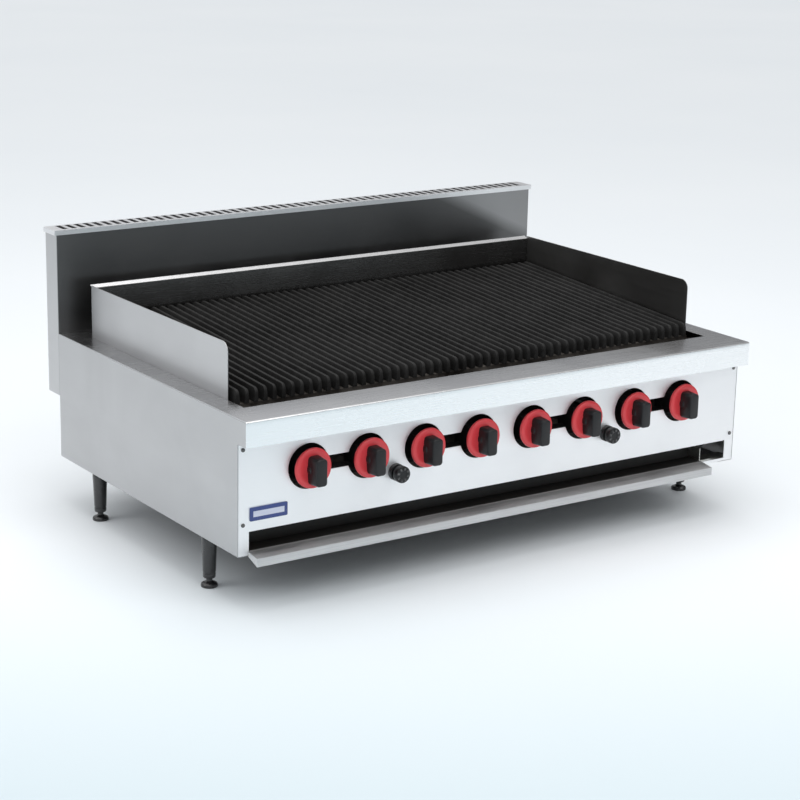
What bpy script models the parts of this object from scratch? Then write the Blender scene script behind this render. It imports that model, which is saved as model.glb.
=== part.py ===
"""Bench-top gas charbroiler, 48 in wide, eight burners, with a flue riser and a splash guard.

Metres, +Z up, the control panel faces -Y, and the floor under the feet is Z = 0.
Each piece is parented to the empty "body_frame", which sits on the centre line at the foot
of the control panel's front face, so the numbers below read as
    x  across the body, + to the right hand of someone at the controls
    y  behind the control panel's front face
    z  above the underside of the body
"""
from math import atan, cos, pi, sin, tan

import bmesh
import bpy
from mathutils import Matrix, Vector

# ---------------------------------------------------------------- driving dimensions
WIDTH = 1.219               # body, 48 in
DEPTH = 0.7376              # control panel to back panel
HEIGHT = 0.265              # underside to deck
LEG_HEIGHT = 0.1025         # 4 in legs with the feet screwed in
SHEET = 0.0015              # stainless sheet
GAP = 0.0003                # between pieces that touch

FASCIA_REACH = 0.0305       # deck edge ahead of the control panel
FASCIA_DROP = 0.0493
OPENING_HALF_WIDTH = 0.563  # opening in the deck
OPENING_FRONT = 0.0565
OPENING_REAR = 0.6771

RISER_THICKNESS = 0.0517
RISER_BOTTOM = 0.1323
RISER_TOP = 0.4814
CAP_OVERHANG = 0.0045
CAP_LIP = 0.010
VENT_COUNT = 58
VENT_PITCH = 0.0205
VENT_WIDTH = 0.0115

SPLASH_TOP = 0.3737
SPLASH_FRONT = 0.1172
SPLASH_CORNER = 0.019
SPLASH_LEAN = 0.010          # the rear sheet's top edge leans back by this
SPLASH_LEAN_RISE = 0.005

BURNERS = 8
KNOB_PITCH = 0.1296
CONTROLS_SHIFT = -0.0045    # the row of controls sits a little left of the middle
KNOB_HEIGHT = 0.1525
CUTOUT_RADIUS = 0.0440
CUTOUT_NECK = 0.0270

SLOT_HALF_WIDTH = 0.5852    # tray slot in the control panel
SLOT_BOTTOM = 0.0072
SLOT_TOP = 0.0462

GRATE_COUNT = 8
BARS_PER_GRATE = 7
BAR_PITCH = 0.01994
BAR_WIDTH = 0.0095
BAR_HEIGHT = 0.027
GRATE_LENGTH = 0.566
GRATE_FRONT = 0.105
GRATE_UNDERSIDE = 0.257     # at the front edge
GRATE_RISE = 0.034          # front to rear, so that fat runs to the trough

LINER_HALF_WIDTH = 0.558
LINER_FRONT = 0.106
LINER_REAR = 0.6725
FLUE_HALF_WIDTH = 0.520
FLUE_BOTTOM = 0.190
FLUE_TOP = 0.250

TRAY_LEFT = -0.5835
TRAY_RIGHT = 0.521
TRAY_FLOOR = 0.008
TRAY_WALL_TOP = 0.040
TRAY_FRONT = 0.040
TRAY_REAR = 0.700
LIP_LEFT = -0.588
LIP_REACH = 0.0345

LEG_X = 0.590
LEG_FRONT = 0.1395
LEG_REAR = 0.597

IGNITER_X = 0.2592
IGNITER_HEIGHT = 0.111

PIPE_RADIUS = 0.0133
PIPE_X = 0.575
PIPE_LOW = 0.028
MANIFOLD_DEPTH = 0.045
MANIFOLD_HEIGHT = 0.120

# ---------------------------------------------------------------- derived values
KNOB_REACH = 0.048
REAR_FACE = DEPTH + GAP + RISER_THICKNESS
PANEL_Y = (KNOB_REACH - REAR_FACE) / 2      # centres the whole object on Y = 0
HALF = WIDTH / 2
INNER = HALF - SHEET
DECK_UNDER = HEIGHT - SHEET
SLOPE = atan(GRATE_RISE / GRATE_LENGTH)
KNOB_X = [(i - (BURNERS - 1) / 2) * KNOB_PITCH + CONTROLS_SHIFT for i in range(BURNERS)]


def grate_underside(y):
    return GRATE_UNDERSIDE + (y - GRATE_FRONT) * tan(SLOPE)


# ---------------------------------------------------------------- clear the scene
for old in list(bpy.data.objects):
    bpy.data.objects.remove(old, do_unlink=True)

body_frame = bpy.data.objects.new("body_frame", None)
body_frame.location = (0, PANEL_Y, LEG_HEIGHT)
bpy.context.scene.collection.objects.link(body_frame)


# ---------------------------------------------------------------- helpers
def material(name, color, roughness, metallic):
    """A Principled material with one colour."""
    made = bpy.data.materials.new(name)
    made.use_nodes = True
    shader = made.node_tree.nodes["Principled BSDF"]
    shader.inputs["Base Color"].default_value = (*color, 1)
    shader.inputs["Roughness"].default_value = roughness
    shader.inputs["Metallic"].default_value = metallic
    return made


stainless = material("stainless", (0.62, 0.62, 0.63), 0.32, 1.0)
aluminised = material("aluminised_steel", (0.30, 0.29, 0.28), 0.55, 0.9)
cast_iron = material("cast_iron", (0.045, 0.043, 0.042), 0.6, 0.5)
black_pipe = material("black_pipe", (0.03, 0.03, 0.03), 0.5, 0.6)
brass = material("brass", (0.70, 0.52, 0.25), 0.35, 1.0)
black_plastic = material("black_plastic", (0.02, 0.02, 0.02), 0.3, 0.0)
red_plastic = material("red_plastic", (0.62, 0.05, 0.05), 0.35, 0.0)
black_paint = material("black_paint", (0.02, 0.02, 0.02), 0.25, 0.0)
steel = material("zinc_steel", (0.60, 0.60, 0.58), 0.35, 1.0)
blue_plate = material("blue_plate", (0.05, 0.09, 0.25), 0.4, 0.0)


def add_object(name, mesh, surface, location=(0, 0, 0), rotation=(0, 0, 0), smooth=False):
    """Link a mesh under body_frame as one named piece."""
    made = bpy.data.objects.new(name, mesh)
    bpy.context.scene.collection.objects.link(made)
    made.parent = body_frame
    made.location = location
    made.rotation_euler = rotation
    if not mesh.materials:
        mesh.materials.append(surface)
    if smooth:
        mesh.shade_smooth()
        mesh.set_sharp_from_angle(angle=0.6)
    return made


def finish(name, bm):
    """Turn a bmesh into a mesh whose faces point out."""
    bmesh.ops.remove_doubles(bm, verts=bm.verts, dist=0.00001)
    bmesh.ops.recalc_face_normals(bm, faces=bm.faces)
    mesh = bpy.data.meshes.new(name)
    bm.to_mesh(mesh)
    bm.free()
    return mesh


def add_box(bm, x, y, z):
    """A box between the limits (low, high) along each axis."""
    size = Matrix.Diagonal((x[1] - x[0], y[1] - y[0], z[1] - z[0], 1))
    centre = Matrix.Translation(((x[0] + x[1]) / 2, (y[0] + y[1]) / 2, (z[0] + z[1]) / 2))
    return bmesh.ops.create_cube(bm, size=1, matrix=centre @ size)["verts"]


def add_prism(bm, outline, axis, low, high):
    """Extrude a flat outline along an axis.

    The outline's two numbers are (y, z) along x, (x, z) along y and (x, y) along z.
    """
    corners = []
    for u, v in outline:
        point = {"x": (low, u, v), "y": (u, low, v), "z": (u, v, low)}[axis]
        corners.append(bm.verts.new(point))
    face = bm.faces.new(corners)
    grown = bmesh.ops.extrude_face_region(bm, geom=[face])["geom"]
    step = {"x": Vector((1, 0, 0)), "y": Vector((0, 1, 0)), "z": Vector((0, 0, 1))}[axis]
    moved = [item for item in grown if isinstance(item, bmesh.types.BMVert)]
    bmesh.ops.translate(bm, verts=moved, vec=step * (high - low))


def add_turned(bm, profile, axis, centre, segments):
    """Spin a profile of (radius, position along the axis) into a turned solid."""
    pivot = Vector(centre)
    along = {"y": Vector((0, 1, 0)), "z": Vector((0, 0, 1))}[axis]
    verts = [bm.verts.new(pivot + Vector((radius, 0, 0)) + along * place) for radius, place in profile]
    edges = [bm.edges.new(pair) for pair in zip(verts, verts[1:])]
    bmesh.ops.spin(bm, geom=verts + edges, cent=pivot, axis=along, angle=2 * pi,
                   steps=segments, use_merge=True)


def boolean(target, other, operation):
    """Apply an exact boolean to the target's mesh and drop the other object."""
    modifier = target.modifiers.new("boolean", "BOOLEAN")
    modifier.operation = operation
    modifier.solver = "EXACT"
    modifier.object = other
    graph = bpy.context.evaluated_depsgraph_get()
    graph.update()
    mesh = bpy.data.meshes.new_from_object(target.evaluated_get(graph))
    target.modifiers.clear()
    target.data = mesh
    bpy.data.objects.remove(other, do_unlink=True)


def cut(target, bm):
    """Cut the bmesh's solids out of a piece."""
    boolean(target, add_object("cutter", finish("cutter", bm), steel, target.location), "DIFFERENCE")


def fuse(target, bm):
    """Fuse the bmesh's solids onto a piece."""
    boolean(target, add_object("added", finish("added", bm), steel, target.location), "UNION")


# ---------------------------------------------------------------- side panels
# Folded sheet: a wall with a bottom flange that carries the legs. The front edge steps
# forward under the deck's overhang.
for side, name in ((-1, "side_panel_left"), (1, "side_panel_right")):
    bm = bmesh.new()
    outer = side * HALF
    inner = side * INNER
    flange = side * (HALF - 0.040)
    section = [(outer, 0), (outer, DECK_UNDER - GAP), (inner, DECK_UNDER - GAP),
               (inner, SHEET), (flange, SHEET), (flange, 0)]
    add_prism(bm, section, "y", -FASCIA_REACH + SHEET + GAP, DEPTH)
    panel = add_object(name, finish(name, bm), stainless)
    bm = bmesh.new()
    add_box(bm, (outer - 0.05, outer + 0.05), (-0.05, 0), (-0.01, HEIGHT - FASCIA_DROP + GAP))
    cut(panel, bm)
    bm = bmesh.new()
    notch = sorted((inner, flange - side * 0.01))
    add_box(bm, notch, (-0.01, SHEET + GAP), (-0.01, 0.01))
    cut(panel, bm)

# ---------------------------------------------------------------- control panel
# Flat sheet between the side panels. Each pair of knobs shares one dumbbell cut-out.
bm = bmesh.new()
add_box(bm, (-INNER + GAP, INNER - GAP), (0, SHEET), (0, DECK_UNDER - GAP))
front_panel = add_object("front_panel", finish("front_panel", bm), stainless)


def dumbbell(left, right, segments=14):
    """Outline of two round holes joined by a neck, in (x, z)."""
    half_neck = CUTOUT_NECK / 2
    start = atan(half_neck / (CUTOUT_RADIUS ** 2 - half_neck ** 2) ** 0.5)
    points = []
    for centre, first in ((right, pi + start), (left, start)):
        turn = 2 * pi - 2 * start
        for step in range(segments + 1):
            angle = first + turn * step / segments
            points.append((centre + CUTOUT_RADIUS * cos(angle),
                           KNOB_HEIGHT + CUTOUT_RADIUS * sin(angle)))
    return points


bm = bmesh.new()
for pair in range(BURNERS // 2):
    add_prism(bm, dumbbell(KNOB_X[2 * pair], KNOB_X[2 * pair + 1]), "y", -0.01, 0.01)
for side in (-1, 1):
    hole = [(0, -0.01), (0.0143, -0.01), (0.0143, 0.01), (0, 0.01)]
    add_turned(bm, hole, "y", (side * IGNITER_X + CONTROLS_SHIFT, 0, IGNITER_HEIGHT), 16)
    for height in (0.0605, 0.2039):
        hole = [(0, -0.01), (0.0023, -0.01), (0.0023, 0.01), (0, 0.01)]
        add_turned(bm, hole, "y", (side * 0.598, 0, height), 8)
add_box(bm, (-SLOT_HALF_WIDTH, SLOT_HALF_WIDTH), (-0.01, 0.01), (SLOT_BOTTOM, SLOT_TOP))
cut(front_panel, bm)

# Angle brackets behind the panel's ends, each with the two screws that hold the panel.
for side, name in ((-1, "corner_bracket_left"), (1, "corner_bracket_right")):
    bm = bmesh.new()
    section = [(side * 0.588, SHEET + GAP), (side * (INNER - GAP), SHEET + GAP),
               (side * (INNER - GAP), 0.025), (side * (INNER - GAP - SHEET), 0.025),
               (side * (INNER - GAP - SHEET), 2 * SHEET + GAP), (side * 0.588, 2 * SHEET + GAP)]
    add_prism(bm, section, "z", 0.010, 0.250)
    bracket = add_object(name, finish(name, bm), steel)
    bm = bmesh.new()
    for height in (0.0605, 0.2039):
        screw = [(0, -0.0026), (0.0025, -0.0024), (0.0040, -0.0012), (0.0040, -GAP),
                 (0.0018, -GAP), (0.0018, 0.005), (0, 0.005)]
        add_turned(bm, screw, "y", (side * 0.598, 0, height), 10)
    fuse(bracket, bm)

# Name plate at the lower left, left blank.
bm = bmesh.new()
add_box(bm, (-0.040, 0.040), (-0.0015, 0), (-0.013, 0.013))
add_object("badge", finish("badge", bm), blue_plate, location=(-0.544, -GAP, 0.079))

# ---------------------------------------------------------------- deck
# One sheet: the deck with the opening for the grates, and the fascia folded down in front.
bm = bmesh.new()
section = [(-FASCIA_REACH, HEIGHT - FASCIA_DROP), (-FASCIA_REACH + SHEET, HEIGHT - FASCIA_DROP),
           (-FASCIA_REACH + SHEET, DECK_UNDER), (DEPTH, DECK_UNDER), (DEPTH, HEIGHT),
           (-FASCIA_REACH, HEIGHT)]
add_prism(bm, section, "x", -HALF, HALF)
top_deck = add_object("top_deck", finish("top_deck", bm), stainless)
bm = bmesh.new()
add_box(bm, (-OPENING_HALF_WIDTH, OPENING_HALF_WIDTH), (OPENING_FRONT, OPENING_REAR),
        (HEIGHT - 0.01, HEIGHT + 0.01))
cut(top_deck, bm)

# ---------------------------------------------------------------- back panel
# Flat sheet with the flue opening and the hole for the gas inlet.
bm = bmesh.new()
add_box(bm, (-INNER + GAP, INNER - GAP), (DEPTH - SHEET, DEPTH), (2 * SHEET, DECK_UNDER - GAP))
back_panel = add_object("back_panel", finish("back_panel", bm), stainless)
bm = bmesh.new()
add_box(bm, (-FLUE_HALF_WIDTH, FLUE_HALF_WIDTH), (DEPTH - 0.01, DEPTH + 0.01), (FLUE_BOTTOM, FLUE_TOP))
hole = [(0, DEPTH - 0.01), (0.0140, DEPTH - 0.01), (0.0140, DEPTH + 0.01), (0, DEPTH + 0.01)]
add_turned(bm, hole, "y", (PIPE_X, 0, PIPE_LOW), 16)
cut(back_panel, bm)

# ---------------------------------------------------------------- flue riser
# A flat box behind the body. The shell is its front and ends, the back carries the bottom
# flange, and the slotted cap drops over the top. The rear is flush, to stand against a wall.
riser_front = DEPTH + GAP
riser_rear = riser_front + RISER_THICKNESS
shell_top = RISER_TOP - SHEET - GAP
bm = bmesh.new()
section = [(-HALF, riser_front), (HALF, riser_front), (HALF, riser_rear), (INNER, riser_rear),
           (INNER, riser_front + SHEET), (-INNER, riser_front + SHEET), (-INNER, riser_rear),
           (-HALF, riser_rear)]
add_prism(bm, section, "z", RISER_BOTTOM, shell_top)
riser_shell = add_object("riser_shell", finish("riser_shell", bm), stainless)
bm = bmesh.new()
add_box(bm, (-FLUE_HALF_WIDTH, FLUE_HALF_WIDTH), (DEPTH - 0.01, DEPTH + 0.01), (FLUE_BOTTOM, FLUE_TOP))
cut(riser_shell, bm)

bm = bmesh.new()
section = [(riser_front + SHEET + GAP, RISER_BOTTOM), (riser_rear, RISER_BOTTOM),
           (riser_rear, shell_top), (riser_rear - SHEET, shell_top),
           (riser_rear - SHEET, RISER_BOTTOM + SHEET), (riser_front + SHEET + GAP, RISER_BOTTOM + SHEET)]
add_prism(bm, section, "x", -INNER + GAP, INNER - GAP)
add_object("riser_back", finish("riser_back", bm), stainless)

cap_half = HALF + CAP_OVERHANG
cap_front = riser_front - GAP - SHEET
cap_rear = riser_rear
bm = bmesh.new()
add_box(bm, (-cap_half, cap_half), (cap_front, cap_rear), (RISER_TOP - CAP_LIP, RISER_TOP))
riser_cap = add_object("riser_cap", finish("riser_cap", bm), stainless)
bm = bmesh.new()
add_box(bm, (-cap_half + SHEET, cap_half - SHEET), (cap_front + SHEET, cap_rear + 0.01),
        (RISER_TOP - 0.02, RISER_TOP - SHEET))
cut(riser_cap, bm)
bm = bmesh.new()
for index in range(VENT_COUNT):
    middle = (index - (VENT_COUNT - 1) / 2) * VENT_PITCH
    add_box(bm, (middle - VENT_WIDTH / 2, middle + VENT_WIDTH / 2),
            (riser_front + 0.008, riser_rear - 0.003), (RISER_TOP - 0.006, RISER_TOP + 0.01))
cut(riser_cap, bm)

# Duct between the firebox and the riser.
bm = bmesh.new()
add_box(bm, (-FLUE_HALF_WIDTH - 0.005, FLUE_HALF_WIDTH + 0.005),
        (LINER_REAR + GAP, DEPTH - SHEET - GAP), (FLUE_BOTTOM - 0.004, FLUE_TOP + 0.004))
flue_duct = add_object("flue_duct", finish("flue_duct", bm), aluminised)
bm = bmesh.new()
add_box(bm, (-FLUE_HALF_WIDTH, FLUE_HALF_WIDTH), (LINER_REAR - 0.01, DEPTH + 0.01),
        (FLUE_BOTTOM - 0.0025, FLUE_TOP + 0.0025))
cut(flue_duct, bm)

# ---------------------------------------------------------------- splash guard
# Three sheets that stand in the deck's opening. The rear one has its top folded back.
splash_bottom = 0.258
splash_rear = OPENING_REAR - GAP
corner = [(SPLASH_FRONT + SPLASH_CORNER * (1 - cos(step * pi / 12)),
           SPLASH_TOP - SPLASH_CORNER * (1 - sin(step * pi / 12))) for step in range(7)]
for side, name in ((-1, "splash_left"), (1, "splash_right")):
    bm = bmesh.new()
    outline = [(splash_rear, SPLASH_TOP), (splash_rear, splash_bottom), (SPLASH_FRONT, splash_bottom)]
    outer = side * (OPENING_HALF_WIDTH - GAP)
    add_prism(bm, outline + corner, "x", outer, outer - side * SHEET)
    add_object(name, finish(name, bm), stainless)

bm = bmesh.new()
splash_face = splash_rear - SHEET
bend = SPLASH_TOP - SPLASH_LEAN_RISE
section = [(splash_face, splash_bottom), (splash_rear, splash_bottom), (splash_rear, bend - 0.0005),
           (splash_face + SPLASH_LEAN, SPLASH_TOP - SHEET), (splash_face + SPLASH_LEAN, SPLASH_TOP),
           (splash_face, bend)]
splash_half = OPENING_HALF_WIDTH - SHEET - 2 * GAP
add_prism(bm, section, "x", -splash_half, splash_half)
add_object("splash_rear", finish("splash_rear", bm), stainless)

# ---------------------------------------------------------------- firebox
# A four-sided liner, open above and below, whose top follows the slope of the grates.
# Ledges inside it carry the radiants and the rear ends of the burners.
bm = bmesh.new()
section = [(LINER_FRONT, 0.060), (LINER_REAR, 0.060), (LINER_REAR, 0.284), (LINER_FRONT, 0.250)]
add_prism(bm, section, "x", -LINER_HALF_WIDTH, LINER_HALF_WIDTH)
liner = add_object("firebox_liner", finish("firebox_liner", bm), aluminised)
bm = bmesh.new()
liner_inner = LINER_HALF_WIDTH - SHEET
add_box(bm, (-liner_inner, liner_inner), (LINER_FRONT + SHEET, LINER_REAR - SHEET), (0.0, 0.4))
cut(liner, bm)
bm = bmesh.new()
add_box(bm, (-0.500, 0.500), (LINER_FRONT - 0.01, LINER_FRONT + 0.01), (0.125, 0.180))
add_box(bm, (-FLUE_HALF_WIDTH, FLUE_HALF_WIDTH), (LINER_REAR - 0.01, LINER_REAR + 0.01),
        (FLUE_BOTTOM, FLUE_TOP))
cut(liner, bm)
bm = bmesh.new()
weld = SHEET / 2
ledge_half = LINER_HALF_WIDTH - weld
ledge_front = LINER_FRONT + weld
ledge_rear = LINER_REAR - weld
add_box(bm, (-ledge_half, ledge_half), (ledge_front, ledge_front + 0.019), (0.184, 0.187))
add_box(bm, (-ledge_half, ledge_half), (ledge_rear - 0.019, ledge_rear), (0.184, 0.187))
add_box(bm, (-ledge_half, ledge_half), (0.632, 0.647), (0.118, 0.1262))
# The rails that the grates rest on have their tops at the grates' slope.
for front, rear, bottom in ((ledge_front, ledge_front + 0.021, 0.238),
                            (ledge_rear - 0.020, ledge_rear, 0.272)):
    section = [(front, bottom), (rear, bottom), (rear, grate_underside(rear) - GAP),
               (front, grate_underside(front) - GAP)]
    add_prism(bm, section, "x", -ledge_half, ledge_half)
fuse(liner, bm)

# Trough between the deck's front edge and the grates, with two drains over the tray.
bm = bmesh.new()
trough_front = OPENING_FRONT + 0.001
trough_rear = LINER_FRONT - SHEET
section = [(trough_front, 0.262), (trough_front, 0.234), (trough_rear, 0.234), (trough_rear, 0.252),
           (trough_rear - SHEET, 0.252), (trough_rear - SHEET, 0.2355), (trough_front + SHEET, 0.2355),
           (trough_front + SHEET, 0.262)]
add_prism(bm, section, "x", -LINER_HALF_WIDTH, LINER_HALF_WIDTH)
trough = add_object("grease_trough", finish("grease_trough", bm), aluminised)
bm = bmesh.new()
for side in (-1, 1):
    hole = [(0, 0.22), (0.010, 0.22), (0.010, 0.24), (0, 0.24)]
    add_turned(bm, hole, "z", (side * 0.350, 0.080, 0), 12)
cut(trough, bm)
bm = bmesh.new()
for side in (-1, 1):
    low = LINER_HALF_WIDTH - weld
    limits = sorted((side * low, side * (low + SHEET)))
    add_box(bm, limits, (trough_front, trough_rear), (0.234, 0.252))
fuse(trough, bm)

# ---------------------------------------------------------------- burners and radiants
# Each burner has a bell mouth at the valve, a throat and the long ported bar. One
# carry-over channel joins the eight, so that the flame crosses from one to the next.
bm = bmesh.new()
for x in KNOB_X:
    casting = [(0, 0.078), (0.022, 0.078), (0.014, 0.105), (0.014, 0.170), (0.026, 0.200),
               (0.026, 0.636), (0.018, 0.648), (0, 0.648)]
    add_turned(bm, casting, "y", (x, 0, KNOB_HEIGHT), 10)
burners = add_object("burners", finish("burners", bm), cast_iron)
bm = bmesh.new()
add_box(bm, (KNOB_X[0], KNOB_X[-1]), (0.214, 0.226), (0.158, 0.170))
fuse(burners, bm)
# The castings are hollow, with 4 mm walls, and open at the bell mouths.
bm = bmesh.new()
for x in KNOB_X:
    core = [(0, 0.070), (0.0195, 0.070), (0.010, 0.106), (0.010, 0.171), (0.022, 0.202),
            (0.022, 0.634), (0.014, 0.644), (0, 0.644)]
    add_turned(bm, core, "y", (x, 0, KNOB_HEIGHT), 10)
cut(burners, bm)

# Each radiant is a plate folded to a ridge over its burner. Strips join them in fours.
foot = 0.1873
radiant_front = LINER_FRONT + SHEET + 0.003
radiant_rear = LINER_REAR - SHEET - 0.003
for name, middles in (("radiants_left", KNOB_X[:4]), ("radiants_right", KNOB_X[4:])):
    bm = bmesh.new()
    for x in middles:
        section = [(x - 0.050, foot), (x, foot + 0.030), (x + 0.050, foot), (x + 0.0465, foot),
                   (x, foot + 0.0279), (x - 0.0465, foot)]
        add_prism(bm, section, "y", radiant_front, radiant_rear)
    radiants = add_object(name, finish(name, bm), aluminised)
    bm = bmesh.new()
    for front in (radiant_front + 0.002, radiant_rear - 0.012):
        add_box(bm, (middles[0] - 0.045, middles[-1] + 0.045), (front, front + 0.010),
                (foot, foot + 0.0015))
    fuse(radiants, bm)

# ---------------------------------------------------------------- gas train
# The supply pipe runs forward under the firebox beside the tray, turns up behind the
# control panel and becomes the manifold under the valves.
curve = bpy.data.curves.new("gas_manifold", "CURVE")
curve.dimensions = "3D"
curve.bevel_depth = PIPE_RADIUS
curve.bevel_resolution = 2
curve.use_fill_caps = True
bend = 0.034
route = [Vector((-0.545, MANIFOLD_DEPTH, MANIFOLD_HEIGHT))]
corners = [(Vector((PIPE_X, MANIFOLD_DEPTH, MANIFOLD_HEIGHT)), Vector((1, 0, 0)), Vector((0, 0, -1))),
           (Vector((PIPE_X, MANIFOLD_DEPTH, PIPE_LOW)), Vector((0, 0, -1)), Vector((0, 1, 0)))]
for point, arrive, leave in corners:
    for step in range(5):
        angle = step * pi / 8
        pull = arrive * (sin(angle) - 1) + leave * (1 - cos(angle))
        route.append(point + pull * bend)
route.append(Vector((PIPE_X, DEPTH - 0.012, PIPE_LOW)))
spline = curve.splines.new("POLY")
spline.points.add(len(route) - 1)
for place, point in zip(spline.points, route):
    place.co = (*point, 1)
pipe_run = add_object("pipe_run", curve, black_pipe)
bpy.context.view_layer.update()
pipe_mesh = bpy.data.meshes.new_from_object(pipe_run.evaluated_get(bpy.context.evaluated_depsgraph_get()))
bpy.data.objects.remove(pipe_run, do_unlink=True)
manifold = add_object("gas_manifold", pipe_mesh, black_pipe)

# Inlet: a shank through the back panel and a socket for the supply.
bm = bmesh.new()
inlet = [(0, DEPTH - 0.0117), (0.0132, DEPTH - 0.0117), (0.0132, DEPTH + 0.004), (0.019, DEPTH + 0.004),
         (0.019, DEPTH + 0.036), (0.012, DEPTH + 0.036), (0.012, DEPTH + 0.012), (0, DEPTH + 0.012)]
add_turned(bm, inlet, "y", (0, 0, 0), 16)
add_object("gas_inlet", finish("gas_inlet", bm), brass, location=(PIPE_X, 0, PIPE_LOW), smooth=True)

# Valve bodies screwed into the manifold, each with a bore for its stem and a jet behind.
bm = bmesh.new()
for x in KNOB_X:
    add_box(bm, (x - 0.014, x + 0.014), (0.012, 0.060), (MANIFOLD_HEIGHT + 0.004, 0.171))
fuse(manifold, bm)
bm = bmesh.new()
for x in KNOB_X:
    add_turned(bm, [(0, 0.0), (0.0046, 0.0), (0.0046, 0.025), (0, 0.025)], "y", (x, 0, KNOB_HEIGHT), 10)
cut(manifold, bm)
bm = bmesh.new()
for x in KNOB_X:
    add_turned(bm, [(0, 0.055), (0.005, 0.055), (0.005, 0.074), (0, 0.074)], "y", (x, 0, KNOB_HEIGHT), 8)
fuse(manifold, bm)

# ---------------------------------------------------------------- knobs
# The stem slides in and the knob turns on it. Skirt, hub and grip bar are one moulding.
bm = bmesh.new()
add_turned(bm, [(0, -0.0255), (0.0040, -0.0255), (0.0040, 0.020), (0, 0.020)], "y", (0, 0, 0), 10)
stem_mesh = finish("valve_stem", bm)
bm = bmesh.new()
skirt = [(0, -0.0115), (0.0360, -0.0115), (0.0390, -0.0135), (0.0390, -0.0170),
         (0.0355, -0.0200), (0, -0.0200)]
add_turned(bm, skirt, "y", (0, 0, 0), 24)
pattern = add_object("knob_pattern", finish("knob", bm), red_plastic)
bm = bmesh.new()
add_box(bm, (-0.0130, 0.0130), (-KNOB_REACH, -0.0165), (-0.0300, 0.0250))
ends = [edge for edge in bm.edges if abs(edge.verts[0].co.y - edge.verts[1].co.y) > 0.01]
bmesh.ops.bevel(bm, geom=ends, offset=0.005, offset_type="OFFSET", affect="EDGES",
                segments=2, profile=0.5, material=-1)
fuse(pattern, bm)
bm = bmesh.new()
hub = [(0, -0.0165), (0.0150, -0.0165), (0.0150, -0.0260), (0.0120, -0.0300), (0, -0.0300)]
add_turned(bm, hub, "y", (0, 0, 0), 20)
fuse(pattern, bm)
bm = bmesh.new()
add_turned(bm, [(0, -0.0285), (0.0047, -0.0285), (0.0047, 0.0), (0, 0.0)], "y", (0, 0, 0), 12)
cut(pattern, bm)
knob_mesh = pattern.data
bpy.data.objects.remove(pattern, do_unlink=True)
for index, x in enumerate(KNOB_X):
    place = (x, 0, KNOB_HEIGHT)
    add_object(f"valve_stem_{index + 1}", stem_mesh, steel, location=place, smooth=True)
    add_object(f"knob_{index + 1}", knob_mesh, red_plastic, location=place, smooth=True)

# ---------------------------------------------------------------- igniters
# The body clamps in the panel. The button runs in its bore, with a cap ahead of the collar.
bm = bmesh.new()
case = [(0, 0.028), (0.0138, 0.028), (0.0138, -GAP), (0.0165, -GAP), (0.0165, -0.0085),
        (0.0155, -0.0095), (0.0133, -0.0095), (0.0133, 0.009), (0, 0.009)]
add_turned(bm, case, "y", (0, 0, 0), 16)
case_mesh = finish("igniter_case", bm)
bm = bmesh.new()
plunger = [(0, 0.002), (0.0128, 0.002), (0.0128, -0.0155), (0.0165, -0.0165), (0.0165, -0.0260),
           (0.0145, -0.0280), (0, -0.0280)]
add_turned(bm, plunger, "y", (0, 0, 0), 16)
button_mesh = finish("igniter_button", bm)
for side, name in ((-1, "left"), (1, "right")):
    place = (side * IGNITER_X + CONTROLS_SHIFT, 0, IGNITER_HEIGHT)
    add_object(f"igniter_body_{name}", case_mesh, black_plastic, location=place, smooth=True)
    add_object(f"igniter_button_{name}", button_mesh, black_plastic, location=place, smooth=True)

# ---------------------------------------------------------------- grates
# Eight castings of seven bars with two cross ties, laid at a slope on the rails.
column_edges = []
for index in range(BARS_PER_GRATE):
    middle = (index - (BARS_PER_GRATE - 1) / 2) * BAR_PITCH
    column_edges += [middle - BAR_WIDTH / 2, middle + BAR_WIDTH / 2]
row_edges = [0, 0.095, 0.105, 0.461, 0.471, GRATE_LENGTH]
bm = bmesh.new()
lattice = [[bm.verts.new((x, y, 0)) for x in column_edges] for y in row_edges]
cells = []
for row in range(len(row_edges) - 1):
    for column in range(len(column_edges) - 1):
        is_bar = column % 2 == 0
        is_tie = row % 2 == 1
        if is_bar or is_tie:
            cells.append(bm.faces.new((lattice[row][column], lattice[row][column + 1],
                                       lattice[row + 1][column + 1], lattice[row + 1][column])))
raised = bmesh.ops.extrude_face_region(bm, geom=cells)["geom"]
lifted = [item for item in raised if isinstance(item, bmesh.types.BMVert)]
bmesh.ops.translate(bm, verts=lifted, vec=Vector((0, 0, BAR_HEIGHT)))
grate_mesh = finish("grate", bm)
for index in range(GRATE_COUNT):
    middle = (index - (GRATE_COUNT - 1) / 2) * BARS_PER_GRATE * BAR_PITCH
    add_object(f"grate_{index + 1}", grate_mesh, cast_iron,
               location=(middle, GRATE_FRONT, GRATE_UNDERSIDE), rotation=(SLOPE, 0, 0))

# ---------------------------------------------------------------- grease tray
# A shallow pan whose floor runs out through the slot and folds down as a lip to pull.
bm = bmesh.new()
add_box(bm, (TRAY_LEFT, TRAY_RIGHT), (TRAY_FRONT, TRAY_REAR), (TRAY_FLOOR, TRAY_WALL_TOP))
tray = add_object("drip_tray", finish("drip_tray", bm), stainless)
bm = bmesh.new()
add_box(bm, (TRAY_LEFT + SHEET, TRAY_RIGHT - SHEET), (TRAY_FRONT + SHEET, TRAY_REAR - SHEET),
        (TRAY_FLOOR + SHEET, 0.1))
cut(tray, bm)
bm = bmesh.new()
floor_top = TRAY_FLOOR + SHEET
section = [(TRAY_FRONT + 0.001, floor_top), (-0.003, floor_top), (-0.003, TRAY_FLOOR),
           (TRAY_FRONT + 0.001, TRAY_FLOOR)]
add_prism(bm, section, "x", TRAY_LEFT, TRAY_RIGHT)
fuse(tray, bm)
bm = bmesh.new()
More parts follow.
